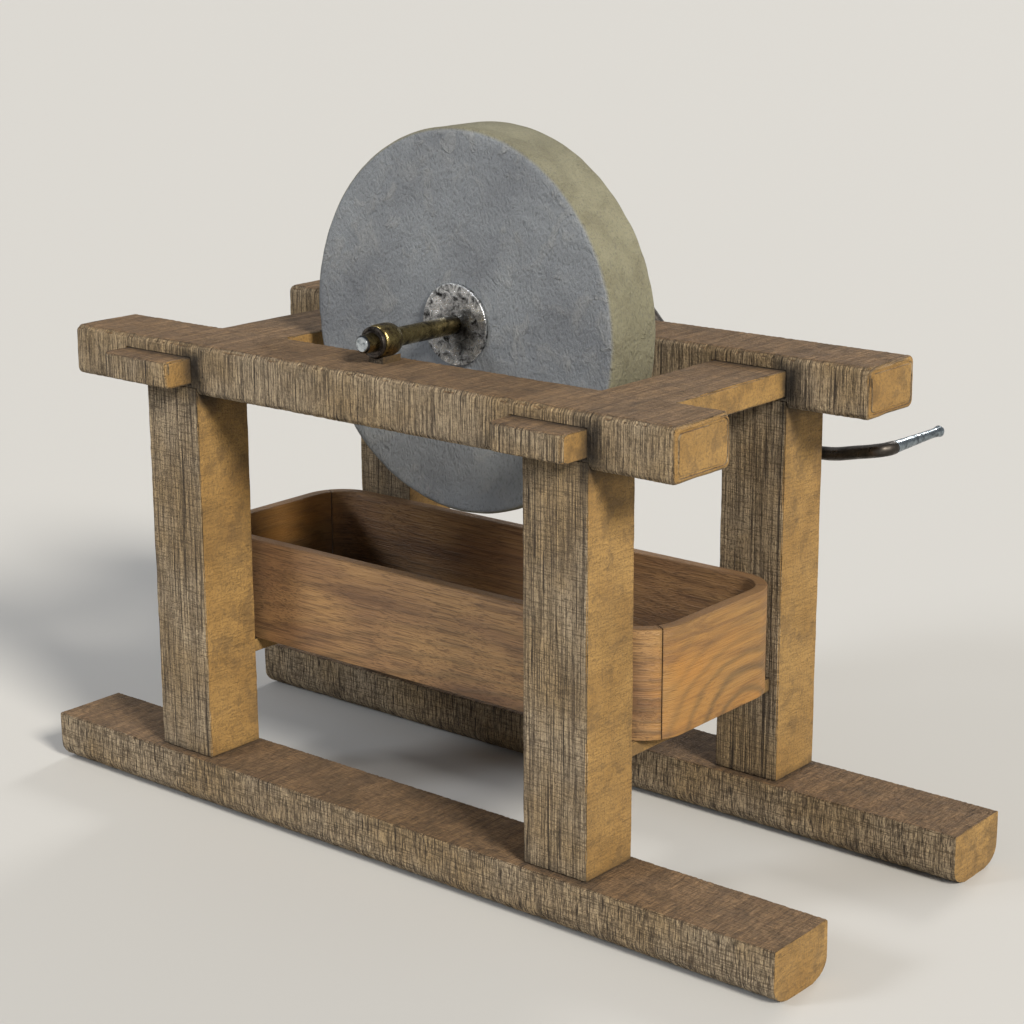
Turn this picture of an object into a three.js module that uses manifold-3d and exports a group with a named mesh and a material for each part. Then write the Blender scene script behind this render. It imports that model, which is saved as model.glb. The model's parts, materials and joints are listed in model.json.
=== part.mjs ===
// A hand-cranked wet grindstone: a large sandstone wheel on an iron axle, carried by a
// timber frame of two feet, four posts, two rails and two cross beams, with a loose wooden
// water trough on two bearers under the stone. Units are millimetres, +Z is up, the floor is
// Z = 0. Inside the root group Y = 0 is the middle plane of the stone.
import * as THREE from "three";
import { mergeVertices } from "three/addons/utils/BufferGeometryUtils.js";
import Module from "manifold-3d";

// ---- Driving dimensions -------------------------------------------------------------------
const GAP = 0.3; // clearance between two pieces that touch
const SPAN = 405; // near frame line to far frame line
const NEAR_END = -300; // near ends of the cross beams, the nearest point of all
const FAR_END = 477.5; // outer face of the crank handle's rivet, the farthest point of all
const SIDES = { near: -1, far: 1 };
const ENDS = { left: 0, right: 1 };

const FOOT = { length: 1210, width: 111, height: 70, y: -13, edgeWidth: 30, edgeHeight: 24, top: 3 };
const POST = { x: [-353, 284.5], width: 97, depth: 91, y: -10, edge: 3 };
const RAIL = { from: -542, to: 451, width: 111, height: 68, bottom: 568.5, edge: 9, bevel: 8 };
const BEAM = { x: [-376.6, 274.5], width: [123, 112], bottom: 582, height: 36, corner: 10, edge: 3 };
const BEARER = { width: 68, bottom: 190.5, height: 20, housing: 25 };
const FOOT_TENON = { x: 56, y: 36, clear: 4 };
const HEAD_TENON = { x: 56, y: 40, height: 43 };
const WEDGE = { slot: 8, tip: 4.5, top: 60 };

const STONE = { x: -42, z: 662.5, radius: 250, width: 94, rim: 9, eye: 58 };
const FLANGE = { radius: 53, thick: 5, edge: 1.2 };
const AXLE = { radius: 12, square: 34, nearEnd: -221.4, shoulder: 315.4, head: 18, stud: 7, studEnd: 353 };
const BUSH = { radius: 21, bore: 12.08, from: 167, to: 199.7, edge: 2.5 };
const SADDLE = { width: 24, letIn: 4, top: 644.5 };
const RING = { radius: 19.4, from: 201, to: 206, edge: 1 };
const CAP = { radius: 11.3, thick: 3.2, edge: 1.2 };
const NUT = { across: 24, thick: 11 };
const RIVET = { radius: 5.8, rim: 3 };

const CRANK = { y: 326.7, bar: 9.5, boss: 23, bossWidth: 22, bossEdge: 3, seam: 347.3, rise: 0.19 };
const PIN = { radius: 4, root: 6, endY: 473.4 };
const HANDLE = { dx: 414.7, dz: -174.8, root: 8.6, waist: 6.2, flare: 8, from: 349.4, to: 469.5, bore: 4.15 };
// The crank's swan-neck, as offsets from the axle in X and Z, from the boss to the bend.
const NECK = [[0, 0], [70, -72], [158, -150], [243, -189], [322.6, -192.3], [377.5, -182.5]];

const TROUGH = { length: 784, width: 287, y: -10, bottom: 210.8, top: 351.5, wall: 17, corner: 62, floor: 18 };
const SEAM_ANGLE = Math.PI / 6; // where the end boards meet the side boards on each corner

// ---- Materials ----------------------------------------------------------------------------
const finish = (color, roughness, metalness = 0) => ({ color, roughness, metalness });
const FINISH = {
  oak: finish(0x9c8a70, 0.85),
  oakEnd: finish(0xb59a6c, 0.85),
  troughWood: finish(0x9a7450, 0.7),
  stone: finish(0x8c9296, 0.95),
  iron: finish(0x4b4843, 0.5, 0.9),
  worn: finish(0xa9a9a6, 0.35, 1),
  bronze: finish(0x85754d, 0.4, 1),
  bright: finish(0xd2d4d6, 0.2, 1),
};

// ---- Solids: joining and cutting ----------------------------------------------------------
const wasm = await Module();
wasm.setup();

function toSolid(geometry) {
  const bare = geometry.clone();
  bare.deleteAttribute("normal");
  bare.deleteAttribute("uv");
  const merged = mergeVertices(bare, 1e-3);
  return new wasm.Manifold(
    new wasm.Mesh({
      numProp: 3,
      vertProperties: merged.attributes.position.array,
      triVerts: new Uint32Array(merged.index.array),
    }),
  );
}

function toGeometry(solid) {
  const mesh = solid.getMesh();
  const geometry = new THREE.BufferGeometry();
  geometry.setAttribute("position", new THREE.BufferAttribute(mesh.vertProperties, 3));
  geometry.setIndex(new THREE.BufferAttribute(mesh.triVerts, 1));
  geometry.computeVertexNormals();
  return geometry;
}

const join = (...parts) => toGeometry(parts.map(toSolid).reduce((a, b) => a.add(b)));
const cut = (body, ...tools) => toGeometry(tools.map(toSolid).reduce((a, b) => a.subtract(b), toSolid(body)));

// ---- Basic shapes -------------------------------------------------------------------------
function block([x0, x1], [y0, y1], [z0, z1]) {
  const geometry = new THREE.BoxGeometry(x1 - x0, y1 - y0, z1 - z0);
  return geometry.translate((x0 + x1) / 2, (y0 + y1) / 2, (z0 + z1) / 2);
}

const around = (middle, size) => [middle - size / 2, middle + size / 2];
const ordered = (a, b) => [Math.min(a, b), Math.max(a, b)];

function roundedRectangle(width, height, radius) {
  const shape = new THREE.Shape();
  const [x, y] = [width / 2 - radius, height / 2 - radius];
  shape.absarc(x, y, radius, 0, Math.PI / 2, false);
  shape.absarc(-x, y, radius, Math.PI / 2, Math.PI, false);
  shape.absarc(-x, -y, radius, Math.PI, Math.PI * 1.5, false);
  shape.absarc(x, -y, radius, Math.PI * 1.5, Math.PI * 2, false);
  return shape;
}

// Pushes a shape out between two levels of Z, its ends bevelled inside the shape's outline.
function rise(shape, from, to, bevel = 0, curveSegments = 3) {
  const geometry = new THREE.ExtrudeGeometry(shape, {
    depth: to - from - 2 * bevel,
    curveSegments,
    bevelEnabled: bevel > 0,
    bevelThickness: bevel,
    bevelSize: bevel,
    bevelOffset: -bevel,
    bevelSegments: 2,
  });
  return geometry.translate(0, 0, from + bevel);
}

// The same along X: the shape's x becomes Y and its y becomes Z.
function reach(shape, from, to, bevel = 0) {
  const basis = new THREE.Matrix4().makeBasis(
    new THREE.Vector3(0, 1, 0),
    new THREE.Vector3(0, 0, 1),
    new THREE.Vector3(1, 0, 0),
  );
  return rise(shape, from, to, bevel).applyMatrix4(basis);
}

// A turned piece on the Y axis: [radius, y] points up the outside, closed on the axis.
function turned(profile, segments = 36) {
  return new THREE.LatheGeometry(profile.map(([r, y]) => new THREE.Vector2(r, y)), segments);
}

// A turned ring between two places on Y, its outer edges chamfered.
function ring(radius, bore, from, to, edge, segments = 36) {
  const profile = [
    [bore, from],
    [radius - edge, from],
    [radius, from + edge],
    [radius, to - edge],
    [radius - edge, to],
    [bore, to],
    [bore, from],
  ];
  return turned(profile, segments);
}

// ---- The scene graph ----------------------------------------------------------------------
const grindstone = new THREE.Group();
grindstone.position.y = -(NEAR_END + FAR_END) / 2; // the origin is under the middle of the whole
const frame = new THREE.Group();
const wheel = new THREE.Group();
wheel.position.set(STONE.x, 0, STONE.z);
const handle = new THREE.Group();
handle.position.set(HANDLE.dx, 0, HANDLE.dz);
wheel.add(handle);
const trough = new THREE.Group();
trough.position.set(STONE.x, TROUGH.y, 0);
grindstone.add(frame, wheel, trough);

function piece(group, name, geometry, material) {
  const mesh = new THREE.Mesh(geometry, new THREE.MeshStandardMaterial(FINISH[material]));
  mesh.name = name;
  group.add(mesh);
  return mesh;
}

// ---- Timber frame -------------------------------------------------------------------------
const footY = (side) => FOOT.y + (SIDES[side] * SPAN) / 2;
const postY = (side) => POST.y + (SIDES[side] * SPAN) / 2;
const railY = (side) => (SIDES[side] * SPAN) / 2;

function footShape() {
  const half = FOOT.width / 2;
  const { height, edgeWidth, edgeHeight, top } = FOOT;
  const shape = new THREE.Shape();
  shape.moveTo(-half + top, height);
  shape.lineTo(half - top, height);
  shape.lineTo(half, height - top);
  shape.absellipse(half - edgeWidth, edgeHeight, edgeWidth, edgeHeight, 0, -Math.PI / 2, true);
  shape.absellipse(edgeWidth - half, edgeHeight, edgeWidth, edgeHeight, -Math.PI / 2, -Math.PI, true);
  shape.lineTo(-half, height - top);
  return shape;
}

function foot(side) {
  const body = reach(footShape(), -FOOT.length / 2, FOOT.length / 2).translate(0, footY(side), 0);
  const mortises = POST.x.map((x) => {
    const [from, to] = around(x, FOOT_TENON.x + 2 * GAP);
    return block([from, to + WEDGE.slot], around(postY(side), FOOT_TENON.y + 2 * GAP), [-1, FOOT.height + 1]);
  });
  return cut(body, ...mortises);
}

function post(side, end) {
  const [x, y] = [POST.x[ENDS[end]], postY(side)];
  const shape = roundedRectangle(POST.width, POST.depth, POST.edge);
  const shaft = rise(shape, FOOT.height + GAP, RAIL.bottom - GAP, 0, 2).translate(x, y, 0);
  const footTenon = block(around(x, FOOT_TENON.x), around(y, FOOT_TENON.y), [FOOT_TENON.clear, FOOT.height + 1]);
  const headTop = RAIL.bottom + HEAD_TENON.height - GAP;
  const headTenon = block(around(x, HEAD_TENON.x), around(y, HEAD_TENON.y), [RAIL.bottom - 1, headTop]);
  const inner = y - (SIDES[side] * POST.depth) / 2;
  const pocketY = ordered(inner - SIDES[side], inner + SIDES[side] * (BEARER.housing + GAP));
  const pocketZ = [BEARER.bottom - GAP, BEARER.bottom + BEARER.height + GAP];
  const pocket = block(around(x, BEARER.width + 2 * GAP), pocketY, pocketZ);
  return cut(join(shaft, footTenon, headTenon), pocket);
}

// The wedge that locks a post's foot tenon, driven up beside it from below.
function footWedge(side, end) {
  const from = POST.x[ENDS[end]] + FOOT_TENON.x / 2 + GAP;
  const shape = new THREE.Shape();
  shape.moveTo(from, FOOT_TENON.clear);
  shape.lineTo(from + WEDGE.slot - GAP, FOOT_TENON.clear);
  shape.lineTo(from + WEDGE.tip, WEDGE.top);
  shape.lineTo(from, WEDGE.top);
  const geometry = rise(shape, -FOOT_TENON.y / 2, FOOT_TENON.y / 2).rotateX(Math.PI / 2);
  return geometry.translate(0, postY(side), 0);
}

function beamBody(end, grow = 0) {
  const width = BEAM.width[ENDS[end]] + 2 * grow;
  const shape = roundedRectangle(width, -2 * NEAR_END, BEAM.corner);
  const body = rise(shape, BEAM.bottom, BEAM.bottom + BEAM.height, BEAM.edge);
  return body.translate(BEAM.x[ENDS[end]], 0, 0);
}

function beam(end) {
  const sockets = Object.keys(SIDES).map((side) =>
    block(
      around(POST.x[ENDS[end]], HEAD_TENON.x + 2 * GAP),
      around(postY(side), HEAD_TENON.y + 2 * GAP),
      [BEAM.bottom - 1, RAIL.bottom + HEAD_TENON.height],
    ),
  );
  return cut(beamBody(end), ...sockets);
}

function rail(side) {
  const y = railY(side);
  const shape = roundedRectangle(RAIL.width, RAIL.height, RAIL.edge);
  const body = reach(shape, RAIL.from, RAIL.to, RAIL.bevel).translate(0, y, RAIL.bottom + RAIL.height / 2);
  const tools = Object.keys(ENDS).flatMap((end) => {
    const beamZ = [BEAM.bottom - GAP, BEAM.bottom + BEAM.height + GAP];
    const tenonX = around(POST.x[ENDS[end]], HEAD_TENON.x + 2 * GAP);
    const tenonY = around(postY(side), HEAD_TENON.y + 2 * GAP);
    return [
      block(around(BEAM.x[ENDS[end]], BEAM.width[ENDS[end]] + 2 * GAP), around(y, RAIL.width + 2), beamZ),
      block(tenonX, tenonY, [RAIL.bottom - 1, BEAM.bottom]),
    ];
  });
  const top = RAIL.bottom + RAIL.height;
  const seatY = around((SIDES[side] * (BUSH.from + BUSH.to)) / 2, BUSH.to - BUSH.from + 2 * GAP);
  const seat = block(around(STONE.x, SADDLE.width + 2 * GAP), seatY, [top - SADDLE.letIn, top + 1]);
  return cut(body, ...tools, seat);
}

// The oak block let into the rail, hollowed on top to cradle the bearing bush.
function saddle(side) {
  const bottom = RAIL.bottom + RAIL.height - SADDLE.letIn + GAP;
  const places = ordered(SIDES[side] * BUSH.from, SIDES[side] * BUSH.to);
  const body = block(around(STONE.x, SADDLE.width), places, [bottom, SADDLE.top]);
  const hollow = new THREE.CylinderGeometry(BUSH.radius + GAP, BUSH.radius + GAP, 100, 48);
  return cut(body, hollow.translate(STONE.x, places[0], STONE.z));
}

function bush(side) {
  const [from, to] = ordered(SIDES[side] * BUSH.from, SIDES[side] * BUSH.to);
  return ring(BUSH.radius, BUSH.bore, from, to, BUSH.edge, 48).translate(STONE.x, 0, STONE.z);
}

function bearer(end) {
  const inner = (SPAN - POST.depth) / 2 + BEARER.housing;
  const shape = roundedRectangle(BEARER.width, BEARER.height, 2);
  const body = rise(shape, -inner, inner, 0, 2).rotateX(Math.PI / 2);
  return body.translate(POST.x[ENDS[end]], POST.y, BEARER.bottom + BEARER.height / 2);
}

for (const side of Object.keys(SIDES)) {
  piece(frame, `${side}_foot`, foot(side), "oak");
  piece(frame, `${side}_rail`, rail(side), "oak");
  piece(frame, `${side}_bearing_saddle`, saddle(side), "oak");
  piece(frame, `${side}_bearing_bush`, bush(side), "bronze");
  for (const end of Object.keys(ENDS)) {
    piece(frame, `${side}_${end}_post`, post(side, end), "oak");
    piece(frame, `${side}_${end}_foot_wedge`, footWedge(side, end), "oakEnd");
  }
}
for (const end of Object.keys(ENDS)) {
  piece(frame, `${end}_cross_beam`, beam(end), "oak");
  piece(frame, `${end}_trough_bearer`, bearer(end), "oak");
}

// ---- Stone, axle and crank ----------------------------------------------------------------
function stone() {
  const [half, { radius, rim }] = [STONE.width / 2, STONE];
  const corner = (y, sign) =>
    [0, 1, 2, 3].map((step) => {
      const angle = (step / 3) * (Math.PI / 2);
      const [along, out] = sign < 0 ? [Math.cos(angle), Math.sin(angle)] : [Math.sin(angle), Math.cos(angle)];
      return [radius - rim + rim * out, y - sign * rim + sign * rim * along];
    });
  const disc = turned([[0, -half], ...corner(-half, -1), ...corner(half, 1), [0, half]], 96);
  return cut(disc, block(around(0, STONE.eye), around(0, STONE.width + 2), around(0, STONE.eye)));
}

function axle() {
  const { radius, square, nearEnd, shoulder, head, stud, studEnd } = AXLE;
  const shaft = turned([[0, nearEnd], [radius, nearEnd], [radius, shoulder], [0, shoulder]]);
  const middle = block(around(0, square), around(0, STONE.width - GAP), around(0, square));
  const headEnd = CRANK.y + CRANK.bossWidth / 2 - 1;
  const headBlock = block(around(0, head), [shoulder - 1, headEnd], around(0, head));
  const studRod = turned([[0, headEnd - 1], [stud, headEnd - 1], [stud, studEnd], [0, studEnd]], 24);
  return join(shaft, middle, headBlock, studRod);
}

// One of the four packing wedges between the axle's square and the stone's eye, set pinwheel.
function eyeWedge(turn) {
  const [inner, outer] = [AXLE.square / 2 + GAP, STONE.eye / 2 - GAP];
  const geometry = block([-inner + 2 * GAP, outer], around(0, STONE.width - 2), [inner, outer]);
  return geometry.rotateY((turn * Math.PI) / 2);
}

function crankArm() {
  const neck = NECK.map(([x, z]) => new THREE.Vector3(x, CRANK.y, z));
  const bend = CRANK.seam - CRANK.y;
  const last = [0.25, 0.62, 0.97].map((share) => {
    const angle = (share * Math.PI) / 2;
    const back = bend * (1 - Math.sin(angle));
    const y = CRANK.y + bend * (1 - Math.cos(angle));
    return new THREE.Vector3(HANDLE.dx - back, y, HANDLE.dz - back * CRANK.rise);
  });
  const tip = new THREE.Vector3(HANDLE.dx, CRANK.seam + GAP, HANDLE.dz);
  const path = new THREE.CatmullRomCurve3([...neck, ...last, tip]);
  const section = new THREE.Shape().absarc(0, 0, CRANK.bar, 0, Math.PI * 2, false);
  const bar = new THREE.ExtrudeGeometry(section, { steps: 64, curveSegments: 16, extrudePath: path });
  const pinFrom = CRANK.seam - PIN.root;
  const pin = turned([[0, pinFrom], [PIN.radius, pinFrom], [PIN.radius, PIN.endY], [0, PIN.endY]], 20);
  pin.translate(HANDLE.dx, 0, HANDLE.dz);
  const [from, to] = around(CRANK.y, CRANK.bossWidth);
  const boss = ring(CRANK.boss, 0, from, to, CRANK.bossEdge);
  const end = 4 * CRANK.bar;
  const beyond = block(around(HANDLE.dx, end), [CRANK.seam, CRANK.seam + CRANK.bar], around(HANDLE.dz, end));
  const squareHole = around(0, AXLE.head + 2 * GAP);
  return cut(join(cut(join(bar, boss), beyond), pin), block(squareHole, [from - 1, to + 1], squareHole));
}

function crankNut() {
  const from = CRANK.y + CRANK.bossWidth / 2 + GAP;
  const radius = NUT.across / 2 / Math.cos(Math.PI / 6);
  const hexagon = new THREE.CylinderGeometry(radius, radius, NUT.thick, 6).translate(0, from + NUT.thick / 2, 0);
  const bore = new THREE.CylinderGeometry(AXLE.stud + GAP, AXLE.stud + GAP, 60, 24).translate(0, from, 0);
  return cut(hexagon, bore);
}

function capPiece() {
  const far = AXLE.nearEnd - GAP;
  const near = far - CAP.thick;
  return turned([[0, near], [CAP.radius - CAP.edge, near], [CAP.radius, near + CAP.edge], [CAP.radius, far], [0, far]]);
}

piece(wheel, "stone_wheel", stone(), "stone");
piece(wheel, "axle", axle(), "bronze");
for (const [index, name] of ["top", "right", "bottom", "left"].entries()) {
  piece(wheel, `${name}_eye_wedge`, eyeWedge(index), "oakEnd");
}
for (const [side, sign] of Object.entries(SIDES)) {
  const face = STONE.width / 2 + GAP;
  const plate = ordered(sign * face, sign * (face + FLANGE.thick));
  piece(wheel, `${side}_flange`, ring(FLANGE.radius, AXLE.radius + GAP, ...plate, FLANGE.edge, 48), "worn");
  const thrust = ordered(sign * RING.from, sign * RING.to);
  piece(wheel, `${side}_thrust_ring`, ring(RING.radius, AXLE.radius + GAP, ...thrust, RING.edge), "iron");
}
piece(wheel, "axle_end_cap", capPiece(), "bright");
piece(wheel, "crank_arm", crankArm(), "iron");
piece(wheel, "crank_nut", crankNut(), "iron");

// ---- The handle that turns on the crank's pin ---------------------------------------------
const { root, waist, flare, from: gripFrom, to: gripTo, bore: gripBore } = HANDLE;
// The grip in section: it narrows from its root to a waist and flares again at the far end.
const grip = [
  [gripBore, gripFrom],
  [root - 1, gripFrom],
  [root, gripFrom + 1],
  [root, gripFrom + 6],
  [waist + 1, gripFrom + 55],
  [waist, gripTo - 22],
  [waist + 0.4, gripTo - 8],
  [flare, gripTo - 2],
  [flare - 1.2, gripTo],
  [gripBore, gripTo],
  [gripBore, gripFrom],
];
const washer = ring(root + 0.4, PIN.radius + GAP, CRANK.seam + GAP, gripFrom - GAP, 0.3, 24);
const domeFrom = gripTo + RIVET.rim;
const dome = [0, 1, 2, 3].map((step) => {
  const angle = (step / 4) * (Math.PI / 2);
  return [RIVET.radius * Math.cos(angle), domeFrom + (FAR_END - domeFrom) * Math.sin(angle)];
});
const rivet = [
  [0, PIN.endY + GAP],
  [PIN.radius + GAP, PIN.endY + GAP],
  [PIN.radius + GAP, gripTo + GAP],
  [RIVET.radius, gripTo + GAP],
  ...dome,
  [0, FAR_END],
];
piece(handle, "handle_grip", turned(grip, 24), "bright");
piece(handle, "handle_washer", washer, "iron");
piece(handle, "handle_rivet", turned(rivet, 24), "bright");

// ---- Water trough -------------------------------------------------------------------------
// A wall board that follows the rounded outline between two corner centres. `middle` is the
// direction it faces, and its ends lie `spread` to each side of that on the corner arcs.
function wallBoard(middle, spread) {
  const [cx, cy] = [TROUGH.length / 2 - TROUGH.corner, TROUGH.width / 2 - TROUGH.corner];
  const facingX = Math.abs(Math.cos(middle)) > 0.5;
  const sign = Math.round(facingX ? Math.cos(middle) : Math.sin(middle));
  const first = facingX ? [sign * cx, -sign * cy] : [sign * cx, sign * cy];
  const second = facingX ? [sign * cx, sign * cy] : [-sign * cx, sign * cy];
  const trim = GAP / 2 / TROUGH.corner;
  const [start, stop] = [middle - spread + trim, middle + spread - trim];
  const inside = TROUGH.corner - TROUGH.wall;
  const shape = new THREE.Shape();
  shape.absarc(...first, TROUGH.corner, start, middle, false);
  shape.absarc(...second, TROUGH.corner, middle, stop, false);
  shape.absarc(...second, inside, stop, middle, true);
  shape.absarc(...first, inside, middle, start, true);
  return rise(shape, TROUGH.bottom, TROUGH.top, 0, 5);
}

const WALLS = {
  right_end: [0, SEAM_ANGLE],
  far_side: [Math.PI / 2, Math.PI / 2 - SEAM_ANGLE],
  left_end: [Math.PI, SEAM_ANGLE],
  near_side: [-Math.PI / 2, Math.PI / 2 - SEAM_ANGLE],
};
for (const [name, [middle, spread]] of Object.entries(WALLS)) {
  piece(trough, `trough_${name}`, wallBoard(middle, spread), "troughWood");
}
const inset = 2 * (TROUGH.wall + GAP);
const floorShape = roundedRectangle(
  TROUGH.length - inset,
  TROUGH.width - inset,
  TROUGH.corner - TROUGH.wall - GAP,
);
piece(trough, "trough_floor", rise(floorShape, TROUGH.bottom, TROUGH.bottom + TROUGH.floor, 0, 6), "troughWood");

export default grindstone;
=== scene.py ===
"""The looks of a hand-cranked wet grindstone, built round its CAD frame. Sizes are in metres."""
import json
import math
from functools import cache

import bmesh
import bpy
from mathutils import Matrix, Vector, noise


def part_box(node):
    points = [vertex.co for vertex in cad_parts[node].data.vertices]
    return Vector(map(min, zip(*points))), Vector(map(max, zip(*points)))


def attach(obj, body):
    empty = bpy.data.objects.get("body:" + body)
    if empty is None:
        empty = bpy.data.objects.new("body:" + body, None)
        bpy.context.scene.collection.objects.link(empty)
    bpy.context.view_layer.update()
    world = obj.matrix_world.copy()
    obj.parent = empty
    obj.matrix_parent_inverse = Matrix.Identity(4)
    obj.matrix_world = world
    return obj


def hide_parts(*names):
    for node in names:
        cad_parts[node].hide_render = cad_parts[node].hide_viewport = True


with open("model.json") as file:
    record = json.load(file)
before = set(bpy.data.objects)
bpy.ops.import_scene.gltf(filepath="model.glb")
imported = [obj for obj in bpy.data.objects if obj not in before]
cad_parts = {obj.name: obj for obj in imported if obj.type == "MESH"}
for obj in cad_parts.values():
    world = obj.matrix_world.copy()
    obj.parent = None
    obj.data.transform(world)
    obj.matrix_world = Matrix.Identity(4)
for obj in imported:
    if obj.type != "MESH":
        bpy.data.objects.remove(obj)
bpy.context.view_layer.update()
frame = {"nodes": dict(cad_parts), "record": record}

box = cache(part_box)
scene = bpy.context.scene
record = frame["record"]
BODY = {node: body for body, nodes in record["behaviour"]["bodies"].items() for node in nodes}
SLOT = {part["node"]: part["material_slot"] for part in record["subparts"]}
SIDES = ("near", "far")
ENDS = ("left", "right")
QUADRANTS = ((-1, -1), (1, -1), (1, 1), (-1, 1))  # the signs of a rectangle's corners

# ---- Camera, light and floor ---------------------------------------------------------------
FLOOR_REACH = 60
EYE = Vector((1.8282, -2.2888, 1.1880))
AIM = Vector((0.0092, -0.0888, 0.4122))
ROLL = math.radians(-0.256)
LENS = 79.5


def aim(obj, target, roll=0.0):
    """Turns a camera or lamp so that its -Z axis points at the target."""
    forward = (target - obj.location).normalized()
    level = forward.cross(Vector((0, 0, 1))).normalized()
    up = level.cross(forward)
    right = level * math.cos(roll) + up * math.sin(roll)
    turn = Matrix((right, right.cross(forward), -forward)).transposed()
    obj.rotation_euler = turn.to_euler()


def add_camera():
    data = bpy.data.cameras.new("camera")
    data.lens = LENS
    data.sensor_width = 36
    data.clip_end = 100
    camera = bpy.data.objects.new("camera", data)
    scene.collection.objects.link(camera)
    camera.location = EYE
    aim(camera, AIM, ROLL)
    scene.camera = camera


def add_lamp(name, direction, strength, colour):
    """A wide soft lamp far away in a direction, so that it lights the whole floor evenly."""
    data = bpy.data.lights.new(name, "SUN")
    data.angle = math.radians(14)
    data.energy = strength
    data.color = colour
    lamp = bpy.data.objects.new(name, data)
    scene.collection.objects.link(lamp)
    lamp.location = Vector(direction) * 5
    aim(lamp, Vector((0, 0, 0)))


def add_sky():
    """A dim sky that brightens to the floor's own tone at the horizon."""
    world = bpy.data.worlds.new("studio")
    world.use_nodes = True
    tree = world.node_tree
    place = tree.nodes.new("ShaderNodeTexCoord")
    parts = tree.nodes.new("ShaderNodeSeparateXYZ")
    ramp = tree.nodes.new("ShaderNodeValToRGB")
    tree.links.new(place.outputs["Generated"], parts.inputs[0])
    tree.links.new(parts.outputs["Z"], ramp.inputs[0])
    tree.links.new(ramp.outputs["Color"], tree.nodes["Background"].inputs["Color"])
    ramp.color_ramp.interpolation = "EASE"
    horizon, overhead = ramp.color_ramp.elements
    horizon.position = 0.02
    horizon.color = (0.753, 0.730, 0.680, 1)
    overhead.position = 0.25
    overhead.color = (0.335, 0.338, 0.346, 1)
    scene.world = world


def add_studio():
    """A pale floor, a dim sky, a warm key lamp on the right and a cooler fill on the left."""
    add_sky()
    scene.view_settings.view_transform = "Standard"
    add_lamp("key", (0.80, -0.27, 0.54), 4.1, (1.0, 0.94, 0.84))
    add_lamp("fill", (-0.50, -0.72, 0.48), 1.1, (0.93, 0.96, 1.0))
    add_lamp("back", (-0.15, 0.85, 0.50), 0.9, (1.0, 0.98, 0.95))
    mesh = bpy.data.meshes.new("floor")
    corners = [(x * FLOOR_REACH, y * FLOOR_REACH, 0) for x, y in QUADRANTS]
    mesh.from_pydata(corners, [], [(0, 1, 2, 3)])
    floor = bpy.data.objects.new("floor", mesh)
    scene.collection.objects.link(floor)
    matte = bpy.data.materials.new("floor")
    matte.use_nodes = True
    surface = matte.node_tree.nodes["Principled BSDF"].inputs
    surface["Base Color"].default_value = (0.52, 0.515, 0.50, 1)
    surface["Roughness"].default_value = 0.9
    mesh.materials.append(matte)


# ---- Materials -----------------------------------------------------------------------------
def tone(code):
    """A linear colour from an sRGB hex code such as "8d7c66"."""
    parts = [int(code[at : at + 2], 16) / 255 for at in (0, 2, 4)]
    linear = [v / 12.92 if v <= 0.04045 else ((v + 0.055) / 1.055) ** 2.4 for v in parts]
    return (*linear, 1.0)


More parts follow.
